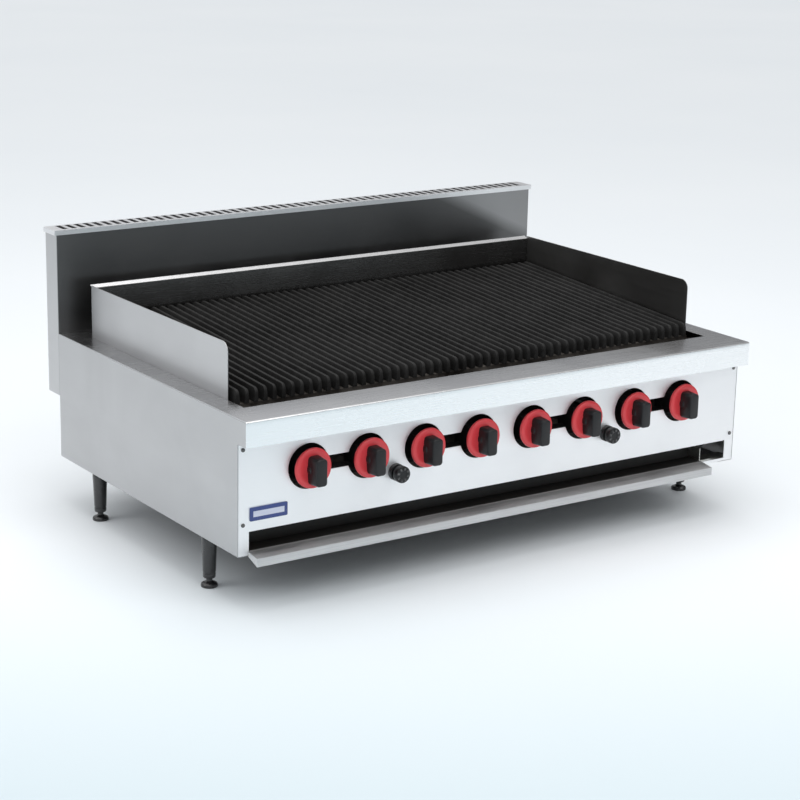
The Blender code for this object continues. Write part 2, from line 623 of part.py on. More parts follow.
section = [(-0.002, floor_top), (-LIP_REACH, 0.0045), (-LIP_REACH, -0.0115), (-LIP_REACH + SHEET, -0.0115),
           (-LIP_REACH + SHEET, 0.0031), (-0.002, TRAY_FLOOR)]
add_prism(bm, section, "x", LIP_LEFT, TRAY_RIGHT)
fuse(tray, bm)
# End plates close the lip.
bm = bmesh.new()
plate = [(-0.002, floor_top - 0.0005), (-LIP_REACH, 0.0040), (-LIP_REACH, -0.0115), (-0.002, -0.0005)]
for low in (LIP_LEFT, TRAY_RIGHT - SHEET):
    add_prism(bm, plate, "x", low, low + SHEET)
fuse(tray, bm)

# Angles that the tray runs on, welded to two flat bars that lie across the side flanges.
bm = bmesh.new()
runner_bottom = TRAY_FLOOR - GAP - SHEET
for edge, outward in ((TRAY_LEFT, -1), (TRAY_RIGHT, 1)):
    wall = edge + outward * GAP
    section = [(wall + outward * SHEET, runner_bottom), (wall + outward * SHEET, 0.036), (wall, 0.036),
               (wall, TRAY_FLOOR - GAP), (wall - outward * 0.022, TRAY_FLOOR - GAP),
               (wall - outward * 0.022, runner_bottom)]
    add_prism(bm, section, "y", 0.006, 0.705)
tray_frame = add_object("tray_frame", finish("tray_frame", bm), steel)
bm = bmesh.new()
for front in (0.012, 0.690):
    add_box(bm, (-INNER + GAP, INNER - GAP), (front, front + 0.028),
            (SHEET + GAP, runner_bottom + SHEET / 2))
fuse(tray_frame, bm)

# ---------------------------------------------------------------- legs and feet
# Tapered legs bolted under the side flanges, each with a foot that screws in and out.
bm = bmesh.new()
leg = [(0, 0), (0.0150, 0), (0.0150, -0.016), (0.0122, -0.084), (0.0066, -0.084),
       (0.0066, -0.046), (0, -0.046)]
add_turned(bm, leg, "z", (0, 0, 0), 16)
leg_mesh = finish("leg", bm)
bm = bmesh.new()
foot = [(0, 0), (0.0150, 0), (0.0165, 0.0015), (0.0165, 0.0060), (0.0110, 0.0100),
        (0.0060, 0.0110), (0.0060, 0.0550), (0, 0.0550)]
add_turned(bm, foot, "z", (0, 0, 0), 16)
foot_mesh = finish("foot", bm)
for x, across in ((-LEG_X, "left"), (LEG_X, "right")):
    for y, along in ((LEG_FRONT, "front"), (LEG_REAR, "rear")):
        add_object(f"leg_{along}_{across}", leg_mesh, black_paint, location=(x, y, -GAP), smooth=True)
        add_object(f"foot_{along}_{across}", foot_mesh, black_paint, location=(x, y, -LEG_HEIGHT),
                   smooth=True)
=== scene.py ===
from math import atan, cos, pi, radians, sin

import bmesh
import bpy
from mathutils import Matrix, Vector


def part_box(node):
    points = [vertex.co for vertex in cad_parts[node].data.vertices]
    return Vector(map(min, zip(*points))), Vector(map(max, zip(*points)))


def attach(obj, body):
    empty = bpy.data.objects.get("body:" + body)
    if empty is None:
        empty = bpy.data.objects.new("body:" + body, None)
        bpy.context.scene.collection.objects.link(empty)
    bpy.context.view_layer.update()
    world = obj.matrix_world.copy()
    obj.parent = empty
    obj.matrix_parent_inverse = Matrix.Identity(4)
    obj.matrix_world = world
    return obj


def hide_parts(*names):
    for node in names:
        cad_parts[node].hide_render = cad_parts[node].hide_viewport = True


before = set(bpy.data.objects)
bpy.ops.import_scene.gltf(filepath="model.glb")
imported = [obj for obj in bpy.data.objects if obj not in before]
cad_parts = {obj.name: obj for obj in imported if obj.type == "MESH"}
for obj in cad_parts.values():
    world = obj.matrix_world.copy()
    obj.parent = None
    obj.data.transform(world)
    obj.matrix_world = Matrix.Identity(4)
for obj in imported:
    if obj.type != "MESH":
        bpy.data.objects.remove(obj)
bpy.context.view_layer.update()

# ---------------------------------------------------------------- studio
# A pale floor with painted shade that greys it toward the camera, a wide soft key over the
# front, two weaker lights, and a grey surround that the steel mirrors, darker on the right.
# None of it belongs to the grill.
scene = bpy.context.scene
scene.view_settings.view_transform = "Standard"
scene.view_settings.look = "None"

camera_data = bpy.data.cameras.new("camera")
camera_data.sensor_width = 36.0
camera_data.lens = 94.68
camera = bpy.data.objects.new("camera", camera_data)
camera.location = (-2.4295, -3.5174, 1.4062)
camera.rotation_euler = (radians(74.602), radians(-1.218), radians(-34.291))
scene.collection.objects.link(camera)
scene.camera = camera


def mesh_object(name, bm):
    """Link a bmesh as an object at the origin."""
    mesh = bpy.data.meshes.new(name)
    bm.to_mesh(mesh)
    bm.free()
    made = bpy.data.objects.new(name, mesh)
    scene.collection.objects.link(made)
    return made


class Value:
    """A value inside a material. Arithmetic on it adds Math nodes."""

    def __init__(self, tree, socket):
        self.tree = tree
        self.socket = socket

    def math(self, operation, *values):
        """A Math node over values and numbers."""
        made = self.tree.nodes.new("ShaderNodeMath")
        made.operation = operation
        for slot, value in zip(made.inputs, values):
            if isinstance(value, Value):
                self.tree.links.new(value.socket, slot)
            else:
                slot.default_value = value
        return Value(self.tree, made.outputs[0])

    def __add__(self, other):
        return self.math("ADD", self, other)

    def __radd__(self, other):
        return self.math("ADD", other, self)

    def __sub__(self, other):
        return self.math("SUBTRACT", self, other)

    def __rsub__(self, other):
        return self.math("SUBTRACT", other, self)

    def __mul__(self, other):
        return self.math("MULTIPLY", self, other)

    def __rmul__(self, other):
        return self.math("MULTIPLY", other, self)


class Finish:
    """A material with a Principled shader, built up node by node."""

    def __init__(self, name, **settings):
        self.material = bpy.data.materials.new(name)
        self.material.use_nodes = True
        self.tree = self.material.node_tree
        self.shader = self.tree.nodes["Principled BSDF"]
        for key, value in settings.items():
            self.shader.inputs[key.replace("_", " ")].default_value = value
        self.place = self.node("ShaderNodeTexCoord")["Object"]

    def node(self, kind, settings=None, inputs=None):
        """Add a node, give it its settings, then its values and links; returns its outputs."""
        made = self.tree.nodes.new(kind)
        for key, value in (settings or {}).items():
            if key == "stops":
                ramp = made.color_ramp.elements
                while len(ramp) < len(value):
                    ramp.new(0.5)
                for element, (position, color) in zip(ramp, value):
                    element.position = position
                    element.color = color
            else:
                setattr(made, key, value)
        for key, value in (inputs or {}).items():
            if isinstance(value, Value):
                self.tree.links.new(value.socket, made.inputs[key])
            else:
                made.inputs[key].default_value = value
        return {out.name: Value(self.tree, out) for out in made.outputs if out.enabled}

    def along(self, axis):
        """The place along an axis in the piece's own space."""
        return self.node("ShaderNodeSeparateXYZ", None, {"Vector": self.place})[axis]

    def noise(self, scale, detail=3.0, roughness=0.5, stretch=None, distortion=0.0):
        """Noise from 0 to 1 in the piece's own space; stretch scales each axis first."""
        place = self.place
        if stretch:
            stretched = {"Vector": place, "Scale": stretch}
            place = self.node("ShaderNodeMapping", None, stretched)["Vector"]
        inputs = {"Vector": place, "Scale": scale, "Detail": detail, "Roughness": roughness,
                  "Distortion": distortion}
        outputs = self.node("ShaderNodeTexNoise", None, inputs)
        return outputs.get("Fac") or outputs["Factor"]

    def between(self, value, low, high, start=0.0, end=1.0):
        """Carry value from the range (low, high) to (start, end), held at the ends."""
        inputs = {"Value": value, "From Min": low, "From Max": high, "To Min": start,
                  "To Max": end}
        return self.node("ShaderNodeMapRange", {"clamp": True}, inputs)["Result"]

    def blend(self, factor, first, second):
        """Mix two colours."""
        made = self.tree.nodes.new("ShaderNodeMix")
        made.data_type = "RGBA"
        sockets = {0: factor, 6: first, 7: second}
        for index, value in sockets.items():
            if isinstance(value, Value):
                self.tree.links.new(value.socket, made.inputs[index])
            else:
                made.inputs[index].default_value = value if index == 0 else (*value, 1)
        return Value(self.tree, made.outputs[2])

    def bump(self, height, strength, distance):
        """Feed a height to the shader's normal."""
        inputs = {"Height": height, "Strength": strength, "Distance": distance}
        normal = self.node("ShaderNodeBump", None, inputs)["Normal"]
        self.tree.links.new(normal.socket, self.shader.inputs["Normal"])

    def feed(self, **sockets):
        """Link values to the shader's sockets."""
        for key, value in sockets.items():
            self.tree.links.new(value.socket, self.shader.inputs[key.replace("_", " ")])
        return self.material


floor_finish = Finish("pale_floor", Roughness=0.75)
cloud = floor_finish.noise(0.6, 3.0)
# Painted shade: the floor's colour greys toward the camera along its heading.
heading = (0.56, 0.83)
grey_from, grey_to = -0.3, -1.5
away = floor_finish.along("X") * heading[0] + floor_finish.along("Y") * heading[1]
floor_painted_shade = floor_finish.between(away, grey_from, grey_to)
pale = floor_finish.blend(cloud, (0.78, 0.82, 0.85), (0.84, 0.87, 0.89))
floor_finish.feed(Base_Color=floor_finish.blend(floor_painted_shade, pale, (0.58, 0.67, 0.71)))
FLOOR_REACH = 40
bm = bmesh.new()
bmesh.ops.create_grid(bm, x_segments=1, y_segments=1, size=FLOOR_REACH)
floor = mesh_object("floor", bm)
floor.data.materials.append(floor_finish.material)

world = bpy.data.worlds.new("studio")
scene.world = world
world.use_nodes = True
sky = world.node_tree
sky_place = sky.nodes.new("ShaderNodeTexCoord")
sky_split = sky.nodes.new("ShaderNodeSeparateXYZ")
sky_ramp = sky.nodes.new("ShaderNodeValToRGB")
sky_side = sky.nodes.new("ShaderNodeMapRange")
sky_shade = sky.nodes.new("ShaderNodeMix")
sky_shade.data_type = "RGBA"
sky_shade.blend_type = "MULTIPLY"
sky_shade.inputs[0].default_value = 1.0
for name, value in (("From Min", 0.46), ("From Max", 0.74), ("To Min", 1.0), ("To Max", 0.25)):
    sky_side.inputs[name].default_value = value
sky.links.new(sky_place.outputs["Generated"], sky_split.inputs[0])
sky.links.new(sky_split.outputs["Z"], sky_ramp.inputs[0])
sky.links.new(sky_split.outputs["X"], sky_side.inputs["Value"])
sky.links.new(sky_ramp.outputs[0], sky_shade.inputs[6])
sky.links.new(sky_side.outputs[0], sky_shade.inputs[7])
stops = [(0.0, (0.30, 0.31, 0.32, 1)), (0.40, (0.45, 0.46, 0.48, 1)),
         (0.85, (1.0, 1.0, 1.0, 1))]
sky_elements = sky_ramp.color_ramp.elements
sky_elements.new(0.5)
for element, (position, color) in zip(sky_elements, stops):
    element.position = position
    element.color = color
sky.links.new(sky_shade.outputs[2], sky.nodes["Background"].inputs["Color"])
sky.nodes["Background"].inputs["Strength"].default_value = 1.36


def soft_light(name, location, target, size, power):
    """A rectangular light aimed at a target, in watts."""
    data = bpy.data.lights.new(name, "AREA")
    data.shape = "RECTANGLE"
    data.size = size[0]
    data.size_y = size[1]
    data.energy = power
    made = bpy.data.objects.new(name, data)
    made.location = location
    aim = Vector(target) - Vector(location)
    made.rotation_euler = aim.to_track_quat("-Z", "Y").to_euler()
    scene.collection.objects.link(made)


soft_light("key", (0.6, -3.2, 3.4), (0.2, -0.6, 0.0), (3.0, 2.0), 34)
soft_light("left_fill", (-3.6, 0.6, 2.2), (-0.4, 0.0, 0.2), (2.0, 2.0), 20)
soft_light("overhead", (0.0, 0.2, 3.6), (0, 0, 0), (2.4, 2.4), 30)

# ---------------------------------------------------------------- side panels
# The two ends of the body: brushed stainless sheet with a flange folded in at the bottom
# for the legs, and a nose at the top that closes the deck's overhang.
SHEET = 0.0015
GAP = 0.0003
MERGE = 0.00001
panel_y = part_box("front_panel")[0].y
under_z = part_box("front_panel")[0].z
to_body = Matrix.Translation((0, panel_y, under_z))
half = (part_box("side_panel_right")[1].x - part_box("side_panel_left")[0].x) / 2
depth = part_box("back_panel")[1].y - panel_y
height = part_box("top_deck")[1].z - under_z
reach = panel_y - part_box("top_deck")[0].y
fascia_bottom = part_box("top_deck")[0].z - under_z


def spot(axis, along, u, v):
    """A point from its place along an axis and the two others in order."""
    return Vector({"x": (along, u, v), "y": (u, along, v), "z": (u, v, along)}[axis])


def folded_sheet(outline, axis, low, high, radius, inside, windows=()):
    """The outer face of a sheet folded along an outline, with its windows cut out."""
    bm = bmesh.new()
    verts = [bm.verts.new(spot(axis, low, u, v)) for u, v in outline]
    for pair in zip(verts, verts[1:]):
        bm.edges.new(pair)
    if radius:
        bmesh.ops.bevel(bm, geom=verts[1:-1], offset=radius, offset_type="OFFSET", segments=4,
                        profile=0.5, affect="VERTICES", material=-1)
    grown = bmesh.ops.extrude_edge_only(bm, edges=bm.edges[:])["geom"]
    moved = [item for item in grown if isinstance(item, bmesh.types.BMVert)]
    bmesh.ops.translate(bm, verts=moved, vec=spot(axis, high, 0, 0) - spot(axis, low, 0, 0))
    for window in windows:
        for index in range(3):
            for limit in window[index] or ():
                plane = Vector((0, 0, 0))
                plane[index] = 1
                bmesh.ops.bisect_plane(bm, geom=bm.verts[:] + bm.edges[:] + bm.faces[:],
                                       plane_co=plane * limit, plane_no=plane)
        gone = []
        for face in bm.faces:
            centre = face.calc_center_median()
            if all(not span or span[0] < centre[i] < span[1] for i, span in enumerate(window)):
                gone.append(face)
        bmesh.ops.delete(bm, geom=gone, context="FACES")
    bmesh.ops.remove_doubles(bm, verts=bm.verts, dist=MERGE)
    bm.normal_update()
    turned = [face for face in bm.faces
              if (face.calc_center_median() - Vector(inside)).dot(face.normal) < 0]
    bmesh.ops.reverse_faces(bm, faces=turned)
    return bm


def add_piece(name, bm, body, surface, nodes=(), moved=to_body, smooth=35):
    """Finish a piece: its place goes into its mesh, then its material, body and nodes."""
    bmesh.ops.transform(bm, matrix=moved, verts=bm.verts)
    made = mesh_object(name, bm)
    made.data.materials.append(surface)
    made.data.shade_smooth()
    made.data.set_sharp_from_angle(angle=radians(smooth))
    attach(made, body)
    if nodes:
        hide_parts(*nodes)
    return made


def ease_edges(piece, width, sharper_than, segments=2):
    """Round the edges that are sharper than an angle in degrees."""
    ease = piece.modifiers.new("ease", "BEVEL")
    ease.width = width
    ease.segments = segments
    ease.limit_method = "ANGLE"
    ease.angle_limit = radians(sharper_than)
    ease.harden_normals = True


def thicken(piece):
    """Give a sheet its thickness, inwards, and ease its cut edges."""
    wall = piece.modifiers.new("wall", "SOLIDIFY")
    wall.thickness = SHEET
    wall.offset = -1
    wall.use_even_offset = True
    ease_edges(piece, 0.0003, 50)


# Colours of a dark reflection painted onto the steel, in place of dark surroundings it would
# mirror.
PAINTED_DARK_REFLECTION = ((0.17, 0.165, 0.16), (0.27, 0.265, 0.26))


def brushed_steel(name, grain, tone, polish, stain=0.05, relief=0.12, other=None,
                  painted_light_colors=PAINTED_DARK_REFLECTION):
    """Brushed stainless: fine lines along the grain, faint waves, wiped smears. Where the
    function other gives 1, the sheet takes the other colours, painted light or shade, a
    dark painted reflection if none are given."""
    finish = Finish(name, Metallic=1.0)
    across = {"x": (0.6, 60, 60), "y": (60, 0.6, 60), "z": (60, 60, 0.6)}[grain]
    lines = finish.noise(14, 2.0, 0.6, across)
    broader = tuple(0.12 * part if part > 1 else part for part in across)
    streaks = finish.noise(2.2, 3.0, 0.55, broader)
    smears = finish.noise(5.0, 4.0, 0.6, None, 0.6)
    patches = finish.noise(1.3, 2.0, 0.5)
    shade = finish.between(lines * 0.35 + streaks * 0.35 + patches * 0.3, 0.3, 0.7)
    low = tuple(tone * part * (1 - stain) for part in (1.0, 1.0, 1.01))
    high = tuple(min(1.0, tone * part * (1 + stain)) for part in (1.0, 1.0, 1.005))
    finish.bump(lines * 0.7 + streaks * 0.3, relief, 0.0006)
    rough = finish.between(smears * 0.6 + lines * 0.4, 0.3, 0.7, polish * 0.8, polish * 1.3)
    steel = finish.blend(shade, low, high)
    if other:
        steel = finish.blend(other(finish), steel, finish.blend(smears, *painted_light_colors))
    return finish.feed(Base_Color=steel, Roughness=rough)


# Painted shade: the side panels' steel is toned darker than the same steel on the front.
shaded_side_steel = brushed_steel("shaded_side_steel", "y", 0.51, 0.42)
FLANGE = 0.040
for side, word in ((-1, "left"), (1, "right")):
    outline = [(side * half, height - SHEET - GAP), (side * half, 0), (side * (half - FLANGE), 0)]
    notch = (None, (-0.1, 0.0), (-0.1, fascia_bottom + GAP))
    bm = folded_sheet(outline, "y", -reach + SHEET + GAP, depth, 0.0025, (0, 0.3, 0.15), [notch])
    panel = add_piece(f"side_{word}", bm, "body", shaded_side_steel,
                      [f"side_panel_{word}"])
    thicken(panel)

# ---------------------------------------------------------------- control panel
# Flat polished sheet screwed to angle brackets at its ends. Every pair of knobs shares a
# dumbbell cut-out, and the grease tray comes out of the long slot below.
# Painted light: the control panel's steel is toned near-white, brighter than the same steel on the
# sides.
lit_panel_steel = brushed_steel("lit_panel_steel", "x", 0.93, 0.46, 0.02)
zinc = Finish("zinc_plate", Metallic=1.0)
zinc_mottle = zinc.noise(220, 2.0)
zinc.bump(zinc_mottle, 0.1, 0.0002)
zinc_metal = zinc.feed(
    Base_Color=zinc.blend(zinc_mottle, (0.50, 0.50, 0.47), (0.66, 0.66, 0.63)),
    Roughness=zinc.between(zinc_mottle, 0.3, 0.7, 0.28, 0.42))

screw_finish = Finish("dull_screw_steel", Metallic=0.8)
pits = screw_finish.noise(500, 2.0)
screw_finish.bump(pits, 0.1, 0.0001)
screw_metal = screw_finish.feed(
    Base_Color=screw_finish.blend(pits, (0.10, 0.10, 0.10), (0.20, 0.20, 0.195)),
    Roughness=screw_finish.between(pits, 0.3, 0.7, 0.30, 0.5))
KNOBS = 8
knob_boxes = [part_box(f"knob_{index + 1}") for index in range(KNOBS)]
knob_x = [(low.x + high.x) / 2 for low, high in knob_boxes]
knob_z = 0.1525
igniter_z = 0.111
IGNITER_HOLE = 0.0143
TRAY_SLOT = ((-0.5852, 0.5852), (0.0072, 0.0462))


def add_prism(bm, outline, axis, low, high):
    """A solid with a flat outline, extruded along an axis."""
    face = bm.faces.new([bm.verts.new(spot(axis, low, u, v)) for u, v in outline])
    grown = bmesh.ops.extrude_face_region(bm, geom=[face])["geom"]
    moved = [item for item in grown if isinstance(item, bmesh.types.BMVert)]
    bmesh.ops.translate(bm, verts=moved, vec=spot(axis, high, 0, 0) - spot(axis, low, 0, 0))
    bmesh.ops.recalc_face_normals(bm, faces=bm.faces)


def add_box(bm, x, y, z):
    """A box between the limits (low, high) along each axis; returns its corners."""
    size = Matrix.Diagonal((x[1] - x[0], y[1] - y[0], z[1] - z[0], 1))
    centre = Matrix.Translation(((x[0] + x[1]) / 2, (y[0] + y[1]) / 2, (z[0] + z[1]) / 2))
    return bmesh.ops.create_cube(bm, size=1, matrix=centre @ size)["verts"]


def add_turned(bm, profile, axis, centre, segments):
    """Spin a profile of (radius, place along the axis) into a turned solid."""
    along = {"y": Vector((0, 1, 0)), "z": Vector((0, 0, 1))}[axis]
    pivot = Vector(centre)
    verts = [bm.verts.new(pivot + Vector((radius, 0, 0)) + along * place)
             for radius, place in profile]
    edges = [bm.edges.new(pair) for pair in zip(verts, verts[1:])]
    bmesh.ops.spin(bm, geom=verts + edges, cent=pivot, axis=along, angle=2 * pi,
                   steps=segments, use_merge=True)
    bmesh.ops.remove_doubles(bm, verts=bm.verts, dist=MERGE)
    bmesh.ops.recalc_face_normals(bm, faces=bm.faces)


def carve(piece, bm):
    """Cut the bmesh's solids out of a piece."""
    bmesh.ops.recalc_face_normals(bm, faces=bm.faces)
    cutter = mesh_object("cutter", bm)
    modifier = piece.modifiers.new("carve", "BOOLEAN")
    modifier.operation = "DIFFERENCE"
    modifier.solver = "EXACT"
    modifier.object = cutter
    bpy.context.view_layer.update()
    graph = bpy.context.evaluated_depsgraph_get()
    mesh = bpy.data.meshes.new_from_object(piece.evaluated_get(graph))
    piece.modifiers.clear()
    piece.data = mesh
    bpy.data.objects.remove(cutter)


def dumbbell(left, right, segments=40):
    """Outline of two round holes joined by a neck."""
    radius = 0.0440
    neck = 0.0135
    start = atan(neck / (radius ** 2 - neck ** 2) ** 0.5)
    points = []
    for centre, first in ((right, pi + start), (left, start)):
        for step in range(segments + 1):
            angle = first + (2 * pi - 2 * start) * step / segments
            points.append((centre + radius * cos(angle), knob_z + radius * sin(angle)))
    return points


bm = bmesh.new()
low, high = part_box("front_panel")
add_box(bm, (low.x, high.x), (0, SHEET), (0, high.z - under_z))
control_panel = add_piece("control_panel", bm, "body", lit_panel_steel,
                          ["front_panel"], Matrix.Identity(4))
bm = bmesh.new()
for left, right in zip(knob_x[0::2], knob_x[1::2]):
    add_prism(bm, dumbbell(left, right), "y", -0.01, 0.01)
igniter_x = {}
for word in ("left", "right"):
    low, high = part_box(f"igniter_body_{word}")
    igniter_x[word] = (low.x + high.x) / 2
    hole = [(0, -0.01), (IGNITER_HOLE, -0.01), (IGNITER_HOLE, 0.01), (0, 0.01)]
    add_turned(bm, hole, "y", (igniter_x[word], 0, igniter_z), 32)
add_box(bm, TRAY_SLOT[0], (-0.01, 0.01), TRAY_SLOT[1])
carve(control_panel, bm)
control_panel.data.transform(to_body)
ease_edges(control_panel, 0.0003, 30, 1)

bracket_edge = 0.588
bracket_flange = 0.025
screw_x = 0.598
screw_heights = (0.0605, 0.2039)
for word, side in (("left", -1), ("right", 1)):
    bm = bmesh.new()
    near, far = SHEET + GAP, 2 * SHEET + GAP
    section = [(side * bracket_edge, near), (side * (half - near), near),
               (side * (half - near), bracket_flange), (side * (half - far), bracket_flange),
               (side * (half - far), far), (side * bracket_edge, far)]
    add_prism(bm, section, "z", 0.010, 0.250)
    add_piece(f"bracket_{word}", bm, "body", zinc_metal,
              [f"corner_bracket_{word}"])
    for index, z in enumerate(screw_heights):
        bm = bmesh.new()
        head = [(0, -0.0026), (0.0016, -0.0026), (0.0028, -0.0023), (0.0037, -0.0015),
                (0.0040, -GAP), (0.0018, -GAP), (0.0018, 0.002), (0, 0.002)]
        add_turned(bm, head, "y", (side * screw_x, 0, z), 24)
        add_piece(f"panel_screw_{word}_{index + 1}", bm, "body", screw_metal)

# ---------------------------------------------------------------- name plate
# A small blank plate riveted to the panel: blue border, pale field, nothing printed on it.
plate_blue = Finish("plate_blue", Roughness=0.35)
grain = plate_blue.noise(300, 2.0)
plate_blue.bump(grain, 0.15, 0.0002)
plate_border = plate_blue.feed(
    Base_Color=plate_blue.blend(grain, (0.030, 0.050, 0.19), (0.045, 0.075, 0.25)))
plate_pale = Finish("plate_pale", Roughness=0.4)
grain = plate_pale.noise(240, 2.0, 0.5, (0.1, 1, 1))
plate_pale.bump(grain, 0.15, 0.0002)
plate_field = plate_pale.feed(
    Base_Color=plate_pale.blend(grain, (0.52, 0.55, 0.68), (0.66, 0.69, 0.80)))
low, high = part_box("badge")
bm = bmesh.new()
corners = add_box(bm, (low.x, high.x), (low.y, high.y), (low.z, high.z))
upright = [edge for edge in bm.edges if abs(edge.verts[0].co.y - edge.verts[1].co.y) > 0.001]
bmesh.ops.bevel(bm, geom=upright, offset=0.002, offset_type="OFFSET", segments=4, profile=0.5,
                affect="EDGES", material=-1)
add_piece("plate_border", bm, "body", plate_border, ["badge"], Matrix.Identity(4))
bm = bmesh.new()
add_box(bm, (low.x + 0.007, high.x - 0.007), (low.y - 0.0003, low.y + 0.0005),
        (low.z + 0.0075, high.z - 0.0075))
add_piece("plate_field", bm, "body", plate_field, (), Matrix.Identity(4))

# ---------------------------------------------------------------- deck
# One stainless sheet: the ledge round the opening and the fascia folded down over the
# control panel.


def fascia_painted_light(finish):
    """1 on the front of the fascia, painted light: drawn brighter than the rest of the sheet."""
    face = panel_y - reach
    return finish.between(finish.along("Y"), face + 0.0012, face + 0.0002)


# The fascia's front takes near-white colours: painted light standing for its bright reflection.
deck_steel = brushed_steel("deck_steel", "x", 0.60, 0.26, other=fascia_painted_light,
                           painted_light_colors=((0.88, 0.89, 0.90), (0.94, 0.95, 0.95)))
opening_half = 0.563
opening_ends = (0.0565, 0.6771)
outline = [(-reach, fascia_bottom), (-reach, height), (depth, height)]
window = ((-opening_half, opening_half), opening_ends, (height - 0.01, height + 0.01))
bm = folded_sheet(outline, "x", -half, half, 0.0028, (0, 0.3, 0.1), [window])
deck = add_piece("deck", bm, "body", deck_steel, ["top_deck"])
thicken(deck)

# ---------------------------------------------------------------- back panel and riser
# The flue riser is a flat stainless box behind the body. Its slotted cap is a lid dropped
# over the top.
cap_steel = brushed_steel("cap_steel", "x", 0.80, 0.34, 0.03, 0.03)
back_steel = brushed_steel("back_steel", "x", 0.58, 0.32)


def dress(surface, *nodes):
    """Give CAD nodes their material."""
    for name in nodes:
        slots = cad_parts[name].data.materials
        slots.clear()
        slots.append(surface)


def smooth_copy(node, name, body, surface, edge=0.0):
    """A merged, eased copy of a CAD node."""
    bm = bmesh.new()
    bm.from_mesh(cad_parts[node].data)
    bmesh.ops.remove_doubles(bm, verts=bm.verts, dist=MERGE)
    bmesh.ops.dissolve_limit(bm, angle_limit=radians(0.5), verts=bm.verts, edges=bm.edges)
    made = add_piece(name, bm, body, surface, [node], Matrix.Identity(4))
    if edge:
        ease_edges(made, edge, 40)


dress(back_steel, "back_panel", "riser_back")
riser_low, riser_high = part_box("riser_shell")
riser_front = riser_low.y - panel_y
riser_rear = riser_high.y - panel_y
outline = [(-half, riser_rear), (-half, riser_front), (half, riser_front), (half, riser_rear)]
duct_half = 0.520
duct_heights = (0.190, 0.250)
window = ((-duct_half, duct_half), (riser_front - 0.01, riser_front + 0.01), duct_heights)


def riser_painted_reflection(finish):
    """1 on the front sheet, painted with a dark reflection, less past a slanting line near its
    right-hand end, where the painted reflection is lighter.
    """
    front = finish.between(finish.along("Y"), riser_low.y + 0.0012, riser_low.y + 0.0002)
    slant = 2.2
    across = finish.along("X") + finish.along("Z") * slant
    return front * finish.between(across, 1.60, 1.67, 1.0, 0.58)


# The riser's front sheet is painted near-black with a lighter patch at its right-hand end: painted
# reflections.
riser_steel = brushed_steel("riser_steel", "x", 0.54, 0.38, 0.04, 0.02, riser_painted_reflection,
                            ((0.115, 0.115, 0.115), (0.15, 0.15, 0.15)))
bm = folded_sheet(outline, "z", riser_low.z - under_z, riser_high.z - under_z, 0.002,
                  (0, riser_rear, 0.3), [window])
riser = add_piece("riser_case", bm, "body", riser_steel, ["riser_shell"])
thicken(riser)
smooth_copy("riser_cap", "riser_lid", "body", cap_steel, 0.0004)

# ---------------------------------------------------------------- splash guard
# Three sheets that stand in the opening and keep fat off the wall and the ledges. The rear
# one leans back along its top edge.
guard_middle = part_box("splash_right")[1].x - SHEET / 2
guard_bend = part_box("splash_rear")[1].z - 0.005


def inner_faces(finish):
    """1 on the faces of the side guards that look at the grates, painted with a dark reflection.
    """
    across = finish.along("X")
    outward = across.math("ABSOLUTE", across)
    return finish.between(outward, guard_middle + 0.0003, guard_middle - 0.0003)


def below_bend(finish):
    """1 below the bend of the rear guard, painted with a dark reflection."""
    return finish.between(finish.along("Z"), guard_bend + 0.0005, guard_bend - 0.0005)


# The side guards' inner faces take a painted dark reflection; the steel is the same on both faces.
splash_steel = brushed_steel("splash_steel", "y", 0.54, 0.38, other=inner_faces)
# The rear guard below its bend takes a painted dark reflection; its bent top keeps the steel's
# tone.
rear_steel = brushed_steel("rear_splash_steel", "x", 0.66, 0.26, other=below_bend)
for word in ("left", "right"):
    low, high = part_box(f"splash_{word}")
    outer = low.x if word == "left" else high.x
    radius = 0.019
    front = low.y - panel_y
    top = high.z - under_z
    rear = high.y - panel_y
    bottom = low.z - under_z
    turns = [step * pi / 24 for step in range(13)]
    corner = [(front + radius * (1 - cos(turn)), top - radius * (1 - sin(turn))) for turn in turns]
    outline = [(rear, top), (rear, bottom), (front, bottom)]
    bm = bmesh.new()
    inner = outer + SHEET if word == "left" else outer - SHEET
    add_prism(bm, outline + corner, "x", outer, inner)
    guard = add_piece(f"guard_{word}", bm, "body", splash_steel,
                      [f"splash_{word}"])
    ease_edges(guard, 0.0004, 50)
smooth_copy("splash_rear", "guard_rear", "body", rear_steel, 0.0004)

# ---------------------------------------------------------------- firebox
# Sheet-steel liner, trough and flue duct, dulled by heat and fat, with the radiants and
# the cast burners inside.
burnt = Finish("heat_stained_steel", Metallic=0.85)
soot = burnt.noise(9, 5.0, 0.65, None, 0.8)
fleck = burnt.noise(90, 2.0)
burnt.bump(fleck, 0.3, 0.0006)
bare_spots = burnt.between(soot, 0.35, 0.65)
burnt_steel = burnt.feed(
    Base_Color=burnt.blend(bare_spots, (0.035, 0.030, 0.027), (0.16, 0.145, 0.13)),
    Roughness=burnt.between(soot + fleck * 0.2, 0.4, 0.8, 0.42, 0.68))
dress(burnt_steel, "flue_duct", "firebox_liner", "grease_trough", "radiants_left",
      "radiants_right")


def cast_iron(name, dark, light, rough):
    """Sand-cast iron with grease baked on unevenly."""
    finish = Finish(name, Metallic=0.1, Specular_IOR_Level=0.18)
    sand = finish.noise(420, 3.0, 0.6)
    lumps = finish.noise(60, 3.0, 0.5)
    grease = finish.noise(7, 4.0, 0.6, None, 0.5)
    finish.bump(sand * 0.5 + lumps * 0.5, 0.45, 0.0008)
    blotching = finish.between(grease * 0.6 + lumps * 0.4, 0.35, 0.65)
    return finish.feed(
        Base_Color=finish.blend(blotching, dark, light),
        Roughness=finish.between(grease * 0.7 + sand * 0.3, 0.35, 0.65, rough - 0.12,
                                 rough + 0.12))


burner_iron = cast_iron("burner_iron", (0.020, 0.018, 0.017), (0.060, 0.052, 0.046), 0.62)
smooth_copy("burners", "burner_castings", "body", burner_iron)

